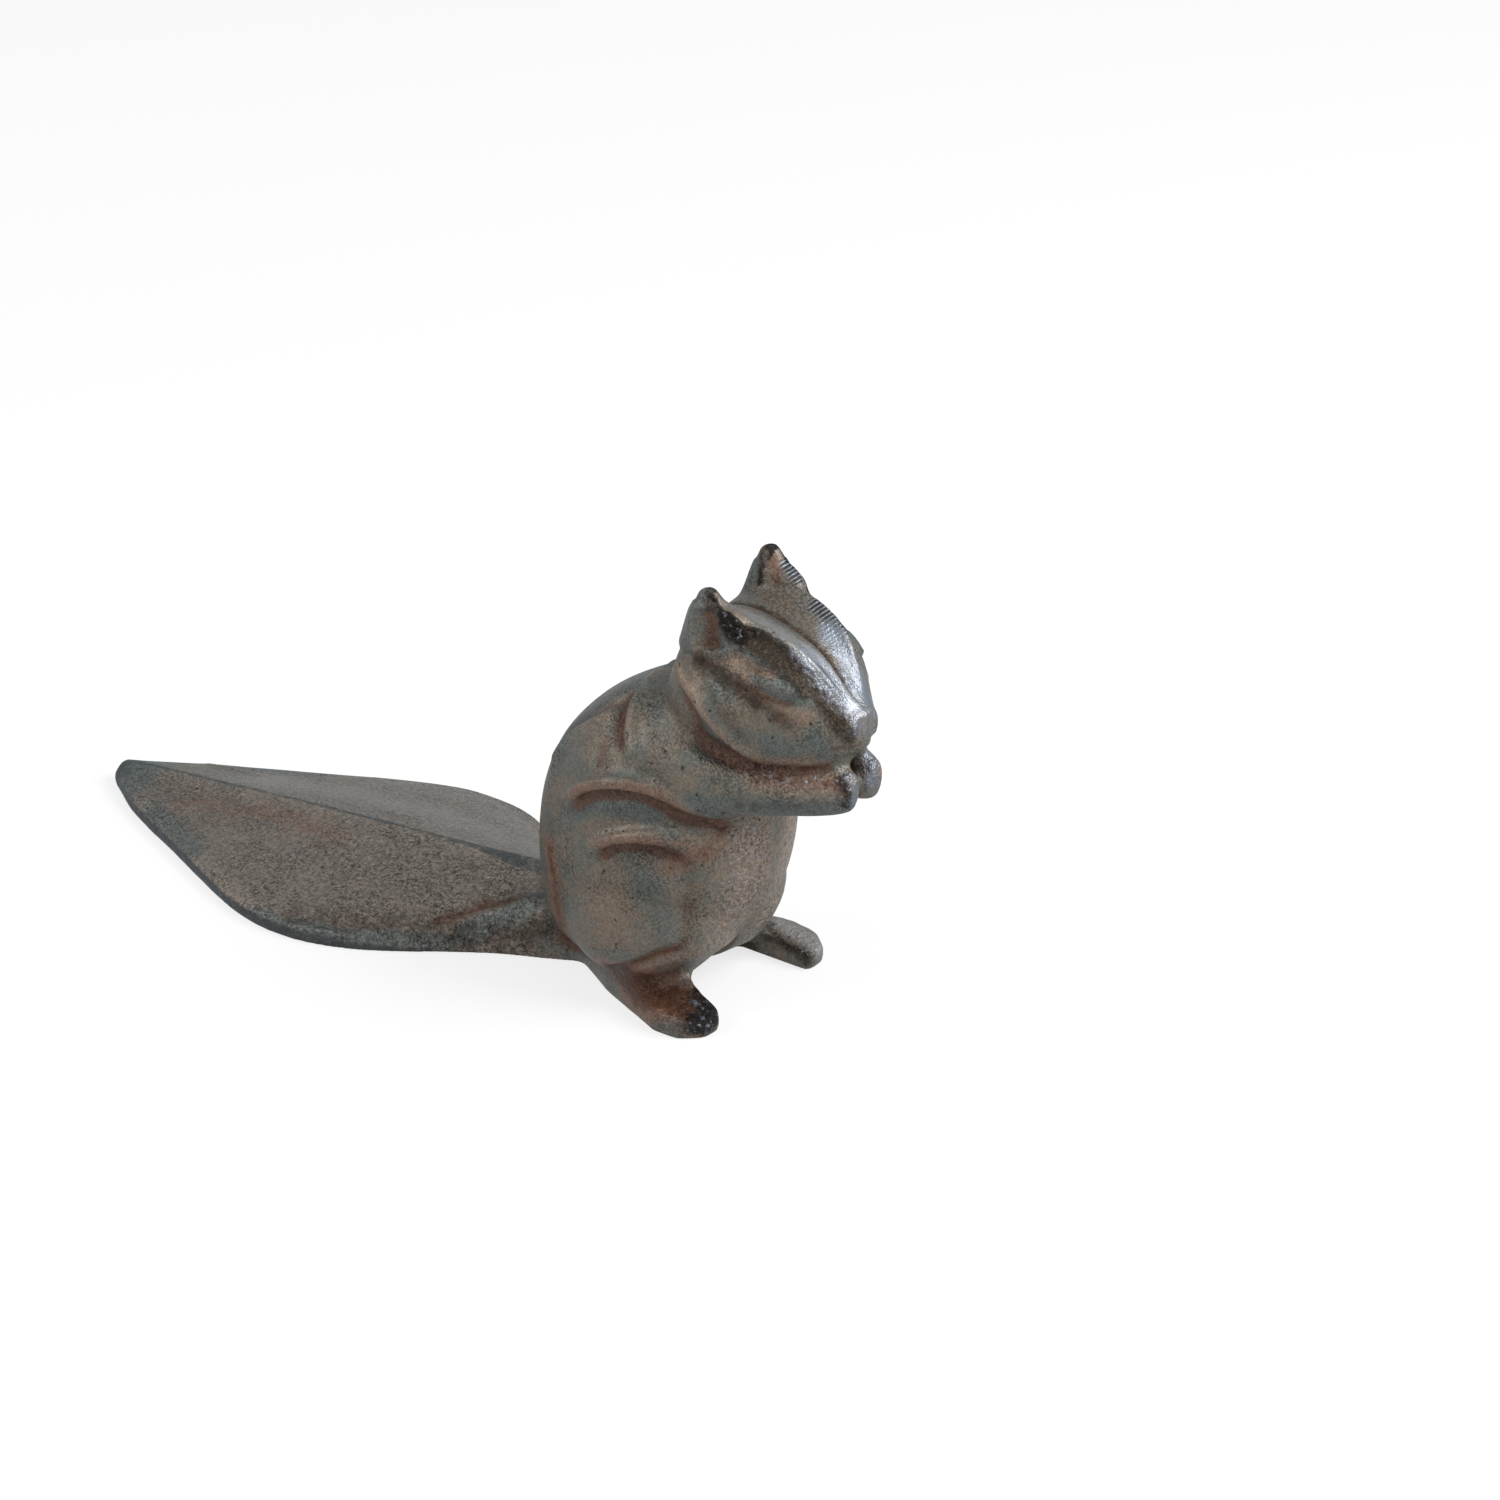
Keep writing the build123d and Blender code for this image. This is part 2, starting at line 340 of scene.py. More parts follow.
def near_line(co, points, width, taper=0.0):
    """Which points lie near a line on the skin, folded to the right side, and how near, 0 to 1."""
    line = np.array([skin_tree.find_nearest(Vector(point))[0] for point in smooth_run(points)])
    low, high = line.min(0) - REACH * width, line.max(0) + REACH * width
    folded = co * (1, 0, 1) - np.abs(co) * (0, 1, 0)
    chosen = np.where(((folded > low) & (folded < high)).all(1))[0]
    near = folded[chosen]
    gap = ((near**2).sum(1)[:, None] + (line**2).sum(1)[None, :] - 2 * near @ line.T).clip(0)
    closest = gap.argmin(1)
    amount = np.exp(-gap[np.arange(len(near)), closest] / width**2)
    if taper:
        along = closest / (len(line) - 1)
        amount *= rise(along, -0.3 * taper, taper) * rise(1 - along, -0.3 * taper, taper)
    return chosen, amount


# carve them, and note how far each point of the plain skin faces away from the joint
outward = (normals_of(figure)[:, 1] * np.sign(co[:, 1]))[:, None]
for turn in range(SKIN_ROUNDS):
    outward = neighbour_mean(outward, pair)
outward = outward[:, 0]
push = np.zeros(len(co))
masks = {"rust": np.zeros(len(co))}
for width, height, rusty, points in LINES.values():
    chosen, amount = near_line(co, points, width, TAPER)
    push[chosen] += height * amount
    masks["rust"][chosen] += rusty * amount
co = co + push[:, None] * normals_of(figure)
co = relax(co, pair, CARVE_ROUNDS)
set_points(figure, co)

# the sides came out of the sand a little unlike: the left ear stands higher than the right, and
# the right foot is thicker inside the toes than the left
LIFT = {"left": 0.9, "right": -0.9}
TOE_LIFT = {"left": -0.5, "right": 2.2}
EAR_TIP, EAR_CROWN = 66.6, 0.14  # where along the figure each ear comes to its rounded tip
x, y, z = co.T
toes = rise(x, 58, 65) * (1 - rise(np.abs(y), 14, 21)) * rise(z, 2, 5) * (1 - rise(z, 8, 14))
co[:, 2] -= EAR_CROWN * rise(z, 89, 92) * (x - EAR_TIP) ** 2
co[:, 2] += rise(z, 85, 91) * np.where(y > 0, LIFT["left"], LIFT["right"])
co[:, 2] += toes * np.where(y > 0, TOE_LIFT["left"], TOE_LIFT["right"])

# the inner edge of each foot runs nearly straight back, so the floor shows under the belly
INNER_HEEL, INNER_TOE, TUCK = 16.6, 15.2, 0.88
x, y, z = co.T
side = np.abs(y)
inner = np.interp(x, (54, 72), (INNER_HEEL, INNER_TOE))
under_belly = rise(x, 49, 56) * (1 - rise(z, 4, 8.5)) * rise(side, 1, 3)
co[:, 1] += np.sign(y) * TUCK * np.clip(inner - side, 0, None) * under_belly

# slow waves of a hand rammed mould, and a base ground flat
WAVE, WAVE_HEIGHT = 9.0, 0.12
wave = np.array([noise.noise(Vector(point) / WAVE) for point in co])
co = co + (WAVE_HEIGHT * wave)[:, None] * normals_of(figure)
co[:, 2] *= rise(co[:, 2], 0.15, 0.9)
set_points(figure, co)

# Where the finish is worn, dirty or rough, and where painted sheen, highlight and reflection lie:
# runs of points with a width, a strength and a flank (-1 right, 1 left, 0 both); the points lie on
# the right side
STAINS_AND_PAINTED_LIGHT = {
    "soot": {
        "ear_fronts": (2.7, 0.95, 0, [
            (69, -11.3, 91.5), (71.5, -12, 89), (73, -12, 87), (75, -11.6, 84.8),
        ]),
        "right_brow_crest": (2.2, 0.55, -1, [
            (75, -9.6, 86.2), (79, -9, 85), (83, -8.4, 83.4), (87, -7.6, 80.4),
        ]),
        "left_ear_tip": (2.2, 1.0, 1, [(66.5, -10.4, 93), (68.5, -9.8, 92), (70.5, -9.4, 90)]),
        "left_ear_back": (1.3, 0.7, 1, [(65.7, -9.3, 92.6), (66, -8, 91), (66.6, -7, 87)]),
        "right_toes": (3.2, 1.1, -1, [
            (67.5, -14.5, 8), (70.5, -15.5, 7), (72, -18, 5), (71.5, -20.5, 4),
        ]),
        "left_paw": (2.6, 0.5, 1, [(94.5, -3.5, 59), (96.5, -3, 57), (96.5, -2, 54.5)]),
        "right_paw_end": (1.7, 0.75, -1, [
            (95, -6.6, 57.4), (96.4, -5.6, 55.4), (96.2, -5.8, 52.8),
        ]),
    },
    "burnt": {
        "right_brow": (2.9, 1.2, -1, [
            (73, -11.3, 86.7), (78, -10.6, 84), (82, -10, 82.2), (86, -9.2, 79.6), (88.5, -8.2, 77),
        ]),
        "left_brow": (3.3, 1.0, 1, [(73, -11.5, 86.5), (78, -10.6, 84), (82, -10.4, 81.6)]),
        "right_muzzle": (2.4, 0.9, -1, [
            (88, -8.2, 77.5), (92, -6.2, 72.7), (94, -5.6, 69.6), (96, -4.6, 67),
        ]),
        "cheek_stripes": (2.2, 0.8, 0, [
            (67, -14.6, 78.6), (70, -15.2, 78), (74, -15.6, 77), (78, -15.5, 75.4),
            (81.5, -15, 73.6),
        ]),
        "stripe_ends": (1.9, 0.6, 0, [(81.5, -15, 73.6), (84.5, -14, 71.3), (87.5, -12.5, 69.5)]),
        "ear_cups": (1.0, 0.7, 0, [(67.6, -12.6, 89), (68.6, -13.2, 86.6), (69.4, -14, 83.4)]),
        "left_ear_front": (2.2, 0.5, 1, [(68.5, -8.5, 91), (69.5, -8, 89), (70.3, -7.4, 87)]),
        "skull_seam": (0.8, 0.9, 0, [
            (64, 0, 83.7), (70, 0, 85), (77, 0, 84.2), (85, 0, 80.8), (91, 0, 75.6),
        ]),
        "left_foot_inside": (2.6, 0.8, 1, [
            (54, -17, 3.5), (60, -16.2, 3.5), (66, -15.6, 3), (71.5, -15.2, 2.5),
        ]),
        "right_toe_front": (2.2, 0.6, -1, [(73, -16, 3), (72.6, -20, 3), (69, -23, 3)]),
        "right_arm": (3.2, 0.36, -1, [(78, -15.5, 51), (84.5, -12, 51), (91.5, -8.5, 51.2)]),
        "tail_tip": (9.0, 0.3, -1, [(-80, -8, 4.5), (-68, -9, 5.5), (-58, -10, 6)]),
        "tail_valley": (4.5, 0.5, -1, [
            (-22, -32, 3), (-9, -28, 4.2), (2, -22.5, 4.6), (12, -18, 3),
        ]),
        "tail_root_side": (4.0, 0.55, -1, [(16, -14, 3), (22, -11, 5), (26, -9, 8)]),
        "tail_root_top": (4.5, 0.45, -1, [(12, -12, 9), (18, -9.5, 11), (24, -9, 13)]),
    },
    "rust": {
        "right_foot": (5.4, 1.5, -1, [
            (51, -21, 7), (56, -21.8, 7), (61, -20.2, 6.6), (65, -19, 6), (69, -18.5, 5.5),
        ]),
        "rump": (3.6, 1.0, 0, [(35.5, -21.5, 31), (36.5, -22, 24), (35.5, -19, 15), (32, -12, 5)]),
        "forearms": (2.6, 0.8, 0, [
            (80, -14, 57.2), (84, -12.6, 57.2), (88, -10.6, 56.8), (93, -7.6, 56.8),
            (95.5, -5.5, 56),
        ]),
        "left_ear_front": (2.0, 0.8, 1, [(68.5, -8.5, 91), (69.5, -8, 90), (70, -7, 88)]),
        "arc_ends": (4.0, 0.7, 0, [(65, -19, 35.5), (68.5, -16, 38), (71, -13.5, 40)]),
        "tail_blade": (6.0, 0.55, -1, [
            (-70.5, -8.5, 5.5), (-53, -6.5, 7.5), (-42, -6.5, 8.5), (-31.5, -8, 9),
        ]),
        "tail_root": (2.2, 0.8, 0, [(7.5, -19, 5.5), (10, -15.5, 7), (13, -12, 8.5)]),
    },
    "bright": {
        "muzzle": (3.0, 0.9, 0, [
            (85.5, -3.2, 81.5), (88.5, -3, 78.8), (91.5, -2.4, 75.6), (95, -1.6, 71.6),
        ]),
        "left_brow": (3.4, 1.0, 1, [
            (84.5, -4.5, 82.2), (89, -3.8, 78), (92.5, -3, 74), (95, -4, 69.5),
        ]),
        "left_muzzle": (2.0, 0.8, 1, [
            (87.5, -7, 80.5), (90.5, -6.5, 75.5), (95, -4.5, 70.5), (97, -3, 68.5),
        ]),
        "right_brow": (3.0, 0.82, -1, [
            (85.5, -6.2, 82.4), (89.5, -5.8, 78), (92.5, -4, 74), (95, -2.5, 70.5),
            (97, -2.8, 68.5),
        ]),
        "left_paw": (2.4, 0.9, 1, [(94.5, -3.5, 59), (96.5, -3, 57), (96.5, -2, 54.5)]),
        "right_paw_end": (2.0, 0.8, -1, [(95.5, -4.4, 57.6), (97, -3.6, 55.4), (96.8, -3.8, 52.5)]),
        "nose": (2.2, 0.7, 0, [(96.5, -1, 70.5), (97.3, -1.5, 68), (97.3, -1.5, 66)]),
        # painted highlight along the left edge of the tail's ridge
        "tail_ridge_highlight": (0.7, 0.6, 1, [
            (-70, -0.9, 7), (-40, -0.9, 9.5), (-10, -0.9, 12), (20, -0.9, 14),
        ]),
        "right_foot_edge": (1.8, 0.4, -1, [(66, -24, 2.5), (70, -22.5, 2.5), (72.8, -19, 2.5)]),
        # painted sheen over the skull strip
        "right_skull": (2.6, 0.5, -1, [
            (70, -5.5, 86.6), (75, -5.3, 85.6), (80, -5, 84.3), (84, -4.6, 82.5),
        ]),
    },
    # painted sheen on the skull strip and on the tail's left slope, and wear on the left toes
    "sheen_and_wear": {
        "right_skull": (3.2, 1.5, -1, [
            (69, -6, 87), (73, -5.5, 86), (78.5, -5.5, 84.8), (83, -5, 83.2), (86, -4.5, 81.4),
        ]),
        "right_muzzle": (2.0, 1.2, -1, [
            (86.5, -2.4, 80.6), (89, -2, 78.2), (92, -1.6, 75), (94.6, -1.2, 72),
        ]),
        "left_tail_blade": (9.0, 0.6, 1, [
            (-67, -6.5, 6.5), (-48.5, -11, 7), (-25.5, -13, 8.5), (-4.5, -13, 9), (14, -9, 10),
        ]),
        "left_tail_edge": (8.0, 0.5, 1, [
            (-45, -26, 4), (-30.5, -30, 4.3), (-18.5, -28, 4.8), (-4.5, -22, 5.7),
        ]),
        "left_toes": (2.8, 1.3, 1, [(62, -20, 7.5), (67, -20, 6), (72, -19.5, 4)]),
    },
    "filed": {
        "left_brow": (2.2, 1.0, 1, [(80, -7.6, 85.2), (82.5, -7.2, 84.3), (85.5, -6.8, 82.7)]),
        "left_ear": (1.6, 1.0, 1, [(70.6, -10, 90.6), (71.8, -9.7, 89.5), (73, -9.2, 88.4)]),
    },
    "pebble": {
        "belly": (6.5, 1.0, 0, [(73.5, -8, 40), (73, -7, 31), (70, -6.5, 21), (66, -6.5, 13)]),
        "forearms": (2.8, 1.0, 0, [
            (80, -13.5, 57), (84, -12.5, 56.5), (88, -10.5, 56), (93, -7.5, 56.3), (96.5, -4.5, 56),
        ]),
        "feet": (4.0, 0.45, 0, [(62, -19, 7), (67, -19, 6), (72, -18, 4)]),
    },
    "blue_scale_and_sheen": {
        # painted reflection of the floor on the arm undersides
        "arm_undersides": (3.2, 1.0, 0, [
            (70, -18, 50), (78, -15.5, 50.5), (84.5, -12, 50.8), (91.5, -8.5, 51), (96, -5.5, 52),
        ]),
        "upper_arcs": (2.4, 0.9, 0, [
            (43, -23.5, 43), (49, -24.3, 45.5), (55, -23.7, 46.3), (61, -21.5, 46),
        ]),
        "thighs": (4.0, 0.5, 0, [(60, -24, 33), (63, -21.5, 27), (63, -20.5, 20)]),
        "jaws": (3.6, 0.55, 0, [(74, -16.8, 68), (80, -15, 66), (86, -11.5, 65), (91, -8.5, 65)]),
        "under_brows": (1.5, 1.2, 0, [
            (74.5, -13, 83), (78, -12.5, 81.5), (82, -11.5, 80.5), (85, -10.5, 79),
        ]),
        "eyes": (1.9, 1.3, 0, [
            (80.8, -13.9, 77.8), (83.3, -12.9, 77), (85.6, -11.7, 76.2), (87.2, -11.1, 75.2),
        ]),
        "flanks": (8.0, 0.4, 0, [(57, -20, 62), (60, -20.5, 54)]),
        # painted blue sheen along the back beads
        "back_beads": (3.0, 0.7, 0, [
            (30, -12, 51), (38, -10, 59.5), (46, -6, 65.3), (50, -12, 65),
        ]),
        "ear_backs": (1.5, 0.9, 0, [(64.5, -12.5, 90), (64, -13, 85), (64.5, -13.8, 80)]),
        "ear_fronts": (1.4, 0.9, 0, [(70.8, -13, 88.6), (72.3, -13.5, 85), (72.6, -14, 81.5)]),
        "left_ear_back": (2.2, 0.9, 1, [(64, -8.5, 90), (63.5, -7.5, 87.5), (62, -7, 84.5)]),
        "toe_edges": (2.6, 1.1, 0, [
            (73, -16, 3), (72.6, -20, 2.6), (69, -23.5, 2.6), (62, -23.5, 2.6),
        ]),
        "tail_tip_edge": (5.0, 0.8, 0, [(-76.5, -14.5, 3.5), (-69.5, -18, 3.5), (-60, -22.5, 3.5)]),
        "right_tail_edge": (2.4, 1.0, -1, [
            (-30, -35, 2), (-18, -33.5, 2.2), (-8, -30, 2.2), (2, -25, 2.2), (9, -20.5, 2),
        ]),
        "tail_root": (3.6, 1.0, -1, [(11, -17.5, 4), (17, -13.5, 7.5), (24, -10, 11)]),
    },
    "warm": {
        "eye_lids": (1.2, 1.2, 0, [
            (75, -13.9, 81.4), (77.5, -13.7, 80.6), (80.5, -13.4, 79.6), (83, -12.4, 79),
        ]),
        "cheek_beads": (2.0, 0.8, 0, [
            (74, -14.5, 79.6), (78.5, -14.8, 77), (82, -14.5, 74), (86.5, -12.5, 71.8),
            (90, -9.5, 70.5),
        ]),
        "jaw_lines": (1.6, 0.9, 0, [(77.5, -13.2, 60.4), (84.5, -11.8, 60.8), (89.5, -8.4, 60.8)]),
        "forearms": (3.0, 0.7, 0, [(82, -13.5, 56.5), (88, -10.5, 56), (93, -7.5, 56.3)]),
        "ruffs": (1.8, 1.0, 0, [
            (62.5, -14.6, 74.5), (67, -16.5, 72), (71, -17.5, 68.5), (76, -16, 63.5),
        ]),
        "upper_arcs": (2.2, 0.55, 0, [
            (42, -23.5, 47), (50.5, -24, 51), (57, -23, 52), (63, -21, 51), (69, -17, 47.5),
        ]),
        "lower_arcs": (2.2, 0.55, 0, [
            (48.5, -25.5, 37.3), (54.5, -25.5, 40.6), (60, -24, 41.6), (66, -19, 40.5),
        ]),
        "arc_ends": (4.5, 0.7, 0, [(64, -19.5, 35), (68, -16.5, 38.5), (72, -13, 41)]),
        "belly": (7.0, 0.7, 0, [(74, -7, 38), (73.5, -6, 30), (70, -6.5, 20)]),
        "ankles": (4.0, 0.6, 0, [(56, -22.5, 10), (62, -20, 9), (66, -17, 8)]),
        "thighs": (9.0, 0.45, 0, [(50, -25, 28), (55, -25, 20)]),
    },
}
for name, runs in STAINS_AND_PAINTED_LIGHT.items():
    masks.setdefault(name, np.zeros(len(co)))
    for width, strength, flank, points in runs.values():
        chosen, amount = near_line(co, points, width)
        amount = strength * amount * (co[chosen, 1] * flank >= 0)
        masks[name][chosen] = np.maximum(masks[name][chosen], amount)

# soot stops at the brow edge, where the skin turns from the slope to the skull
on_brow = (co[:, 2] > 66) & (co[:, 0] > 68) & (np.abs(co[:, 1]) > 2)
for name in ("soot", "burnt"):
    masks[name] *= np.where(on_brow, rise(outward, 0.15, 0.4), 1)

# hollows of the skin gather rust and are darkened as painted shade, and its crowns are rubbed bare,
# over fine and broad forms
BEND = 0.01
hollow = neighbour_mean(co, pair) - co
hollow = (hollow * normals_of(figure)).sum(1)[:, None]
for name, rounds in (("hollow", 6), ("cavity", 30)):
    for turn in range(rounds):
        hollow = neighbour_mean(hollow, pair)
    masks[name] = hollow[:, 0] / BEND

# the tail: rough slopes, a dark band of painted shadow under the ridge on the right side that
# widens to the root, painted shade on the steep sides, and a dark blued tip
x, y, z = co.T
steep = 1 - rise(normals_of(figure)[:, 2], 0.2, 0.7)
ridge_band = 0.45 + 2.2 * rise(x, -12, 24) * (y < 0)
masks["tail"] = (1 - rise(x, 22, 27)) * (1 - rise(z, 14, 17))
edge = steep * (1 - rise(x, 0, 16))
ridge = 0.9 * (1 - rise(np.abs(y), ridge_band, 2 * ridge_band))
tip = 0.75 * (1 - rise(x, -93, -86))
masks["rim"] = masks["tail"] * np.maximum.reduce([edge, ridge, tip])
masks["blue_scale_and_sheen"] = np.maximum(masks["blue_scale_and_sheen"], 1 - rise(x, -91, -80))
for name, values in masks.items():
    stored = figure.attributes.new(name, "FLOAT", "POINT").data
    stored.foreach_set("value", values.astype(np.float32))

# sawn apart on the joint
SAW = 0.3                        # metres, larger than the figure


def cut_by(mesh, cutter):
    blank = bpy.data.objects.new("blank", mesh)
    tool = bpy.data.objects.new("tool", cutter)
    for item in (blank, tool):
        bpy.context.collection.objects.link(item)
    cut = blank.modifiers.new("cut", "BOOLEAN")
    cut.object = tool
    cut.operation = "DIFFERENCE"
    cut.solver = "MANIFOLD"
    result = finished(blank)
    for item in (blank, tool):
        bpy.data.objects.remove(item)
    return result


def block(low, high):
    shape = bmesh.new()
    bmesh.ops.create_cube(shape, size=1)
    for corner in shape.verts:
        for k in range(3):
            corner.co[k] = low[k] if corner.co[k] < 0 else high[k]
    mesh = bpy.data.meshes.new("block")
    shape.to_mesh(mesh)
    shape.free()
    return mesh


def turned(stations, centre, squash=(1, 1), sides=48):
    """A closed round or oval solid along Y: stations of y and radius, about a centre x and z."""
    shape = bmesh.new()
    rings = []
    for reach, radius in stations:
        ring = []
        for k in range(sides):
            angle = 2 * math.pi * k / sides
            along, up = squash[0] * math.cos(angle), squash[1] * math.sin(angle)
            spot = Vector((centre[0] + radius * along, reach, centre[1] + radius * up))
            ring.append(shape.verts.new(spot * MM))
        rings.append(ring)
    for a, b in zip(rings, rings[1:]):
        for k in range(sides):
            shape.faces.new((a[k], a[k - 1], b[k - 1], b[k]))
    shape.faces.new(rings[0])
    shape.faces.new(rings[-1][::-1])
    bmesh.ops.recalc_face_normals(shape, faces=shape.faces)
    mesh = bpy.data.meshes.new("turned")
    shape.to_mesh(mesh)
    shape.free()
    return mesh


def middle(node):
    low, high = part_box(node)
    return ((low[0] + high[0]) / 2 / MM, (low[2] + high[2]) / 2 / MM)


screw_low, screw_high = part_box("tie_screw")
SCREW = middle("tie_screw")
HEAD_R = (screw_high[2] - screw_low[2]) / 2 / MM
HEAD_Y = screw_high[1] / MM
SHANK_R, SHANK_END = 2.5, -16.0
SEAT_EASE, RECESS = 0.2, 4.0     # room round the screw head, and how far the bore goes on past it
CORE = (49.0, 33.5)              # middle of the hollow left by the sand core
CORE_RADII = (18.5, 21.0)
CORE_DEPTH, BOSS_R = 15.0, 7.0
DOWEL_R, DOWEL_DEPTH = 2.0, 7.5
core = cut_by(
    turned([(-CORE_DEPTH, 1), (CORE_DEPTH, 1)], CORE, CORE_RADII),
    turned([(-CORE_DEPTH - 1, BOSS_R), (CORE_DEPTH + 1, BOSS_R)], SCREW),
)
dowel_holes = [
    turned([(-DOWEL_DEPTH, DOWEL_R), (DOWEL_DEPTH, DOWEL_R)], middle(dowel))
    for dowel in ("head_dowel", "tail_dowel")
]
screw_hole = turned([
    (SHANK_END, SHANK_R), (HEAD_Y - (HEAD_R - SHANK_R) - SEAT_EASE, SHANK_R + SEAT_EASE),
    (HEAD_Y, HEAD_R), (HEAD_Y + RECESS, HEAD_R),
], SCREW)
bored = figure
for tool in (core, *dowel_holes, screw_hole):
    bored = cut_by(bored, tool)

# the finish follows the skin right up to the saw cut
skin_points = KDTree(len(co))
for k, point in enumerate(co):
    skin_points.insert(point, k)
skin_points.balance()
castings = {}
for name, low, high in (("right", 0, SAW), ("left", -SAW, 0)):
    mesh = cut_by(bored, block((-SAW, low, -SAW), (SAW, high, SAW)))
    at_cut = np.where(np.abs(points_of(mesh)[:, 1]) < 1e-3)[0]
    nearest = [skin_points.find(point)[1:] for point in points_of(mesh)[at_cut]]
    for mask, values in masks.items():
        stored = mesh.attributes[mask].data
        for k, (index, gap) in zip(at_cut, nearest):
            if gap < 2 * GRIT:
                stored[k].value = values[index]
    piece = bpy.data.objects.new(f"{name}_casting", mesh)
    bpy.context.collection.objects.link(piece)
    mesh.materials.clear()
    mesh.shade_smooth()
    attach(piece, "root")
    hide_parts(f"{name}_half")
    castings[name] = piece


class Wire:
    """A socket in a material: sums on it add Math nodes, and node() adds any other kind."""

    def __init__(self, tree, socket=None):
        self.tree, self.socket = tree, socket

    def node(self, kind, settings=None, sockets=None, out=0):
        made = self.tree.nodes.new("ShaderNode" + kind)
        for name, value in (settings or {}).items():
            setattr(made, name, value)
        for name, value in (sockets or {}).items():
            if isinstance(value, Wire):
                self.tree.links.new(value.socket, made.inputs[name])
            else:
                made.inputs[name].default_value = value
        return Wire(self.tree, made.outputs[out])

    def maths(self, operation, a, b):
        return self.node("Math", {"operation": operation}, {0: a, 1: b})

    def __add__(self, other):
        return self.maths("ADD", self, other)

    def __radd__(self, other):
        return self.maths("ADD", other, self)

    def __sub__(self, other):
        return self.maths("SUBTRACT", self, other)

    def __rsub__(self, other):
        return self.maths("SUBTRACT", other, self)

    def __mul__(self, other):
        return self.maths("MULTIPLY", self, other)

    def __rmul__(self, other):
        return self.maths("MULTIPLY", other, self)


def new_finish(name):
    finish = bpy.data.materials.new(name)
    finish.use_nodes = True
    return finish, finish.node_tree.nodes["Principled BSDF"], Wire(finish.node_tree)


def feed(shader, name, wire):
    wire.tree.links.new(wire.socket, shader.inputs[name])


def relief(wire):
    """A bump of this many millimetres."""
    return wire.node("Bump", None, {"Strength": 1.0, "Distance": MM, "Height": wire})


def between(wire, low, high):
    settings = {"interpolation_type": "SMOOTHSTEP"}
    return wire.node("MapRange", settings, {"Value": wire, "From Min": low, "From Max": high})


def tint(amount, under, over):
    return amount.node("Mix", {"data_type": "RGBA"}, {0: amount, 6: under, 7: over}, 2)


def shade(colour, grey):
    settings = {"data_type": "RGBA", "blend_type": "MULTIPLY"}
    return grey.node("Mix", settings, {0: 1.0, 6: colour, 7: grey}, 2)


# Iron finish: brown oxide over blue-grey scale, rust in the hollows, soot under the brows, bare
# metal where the file and hands have been, the grain of the moulding sand, and painted shade,
# sheen, highlight and floor reflection
BROWN = (0.114, 0.094, 0.074, 1)         # oxide over most of the figure
SLATE = (0.088, 0.090, 0.081, 1)         # scale between the brown
COOL_SCALE_AND_SHEEN = (0.070, 0.080, 0.077, 1)         # cooler scale on cheeks and edges, and painted blue sheen and floor reflection on the arm undersides and back beads
TAN = (0.150, 0.106, 0.080, 1)           # dry oxide on the crowns
RUST, DEEP_RUST = (0.113, 0.060, 0.040, 1), (0.052, 0.024, 0.013, 1)
SOOT, BURNT = (0.012, 0.011, 0.011, 1), (0.030, 0.019, 0.011, 1)
SCALE_AND_SHADE = (0.042, 0.048, 0.051, 1)         # dark skin at the tail's tip, and painted shadow under its ridge and on its steep sides
SHEEN_AND_WEAR_GREY = (0.215, 0.209, 0.203, 1)          # grey of wear, and of painted sheen on the tail's left slope and the skull strip
TAIL_BROWN = (0.128, 0.111, 0.093, 1)
PALE = (0.215, 0.175, 0.142, 1)          # tops of the rough pebbled patches
# bare metal, also used as painted highlight along the tail ridge and over the skull strip; polished
# metal, lighter still under painted sheen
BARE_AND_HIGHLIGHT, POLISHED_AND_SHEEN = (0.19, 0.212, 0.245, 1), (0.52, 0.56, 0.62, 1)
SHEEN = (0.50, 0.58, 0.66, 1)
iron, iron_shader, ground = new_finish("iron")
place = ground.node("TexCoord", out="Object")
across = place.node("SeparateXYZ", None, {0: place}, "X")
upward = place.node("SeparateXYZ", None, {0: place}, "Z")


def cloud(size, detail=2.0, offset=0.0):
    """Noise with lumps of about this many millimetres."""
    moved = place.node("VectorMath", {"operation": "ADD"}, {0: place, 1: (offset, 0, 0)})
    return moved.node("TexNoise", None, {
        "Vector": moved, "Scale": 1 / (size * MM), "Detail": detail, "Roughness": 0.55,
    })


def mark(name):
    return ground.node("Attribute", {"attribute_name": name}, out="Fac")


FILE_CUTS = 2 * math.pi * 0.7 / (0.8 * MM)    # strokes of a file, 0.8 mm apart down the slope
grain = cloud(0.5, 1.5)
coarse = cloud(0.95, 2.0, 0.37)
sand = cloud(1.6, 2.0, 0.31)
blotch = cloud(7.0, 4.0, 0.17)
fleck = cloud(1.0, 1.0, 0.53)
pebbly, tail, rim = mark("pebble"), mark("tail"), mark("rim")
rubbed = 1 - between(mark("hollow"), -2.8, -0.9)
sunken = between(mark("hollow"), 0.5, 2.0)
rusty = between(mark("rust") + 0.4 * sunken + 1.0 * (cloud(3.0, 3.0) - 0.5), 0.2, 1.0)
sooty = between(mark("soot") + 1.0 * (cloud(1.2, 3.0, 0.7) - 0.5), 0.2, 0.9)
burnt = between(mark("burnt") + 0.8 * (cloud(1.8, 3.0, 0.77) - 0.5), 0.15, 0.85)
blue_scale_and_sheen = between(mark("blue_scale_and_sheen") + 0.6 * (blotch - 0.5), 0.1, 0.8)
warm = between(mark("warm") + 0.45 * (cloud(3.0, 3.0, 0.45) - 0.5), 0.15, 0.9)
bare_and_highlit = between(mark("bright") + 0.9 * (cloud(1.1, 3.0, 0.9) - 0.5), 0.15, 1.1)
stroke = place.node("Math", {"operation": "SINE"}, {0: (across - upward) * FILE_CUTS})
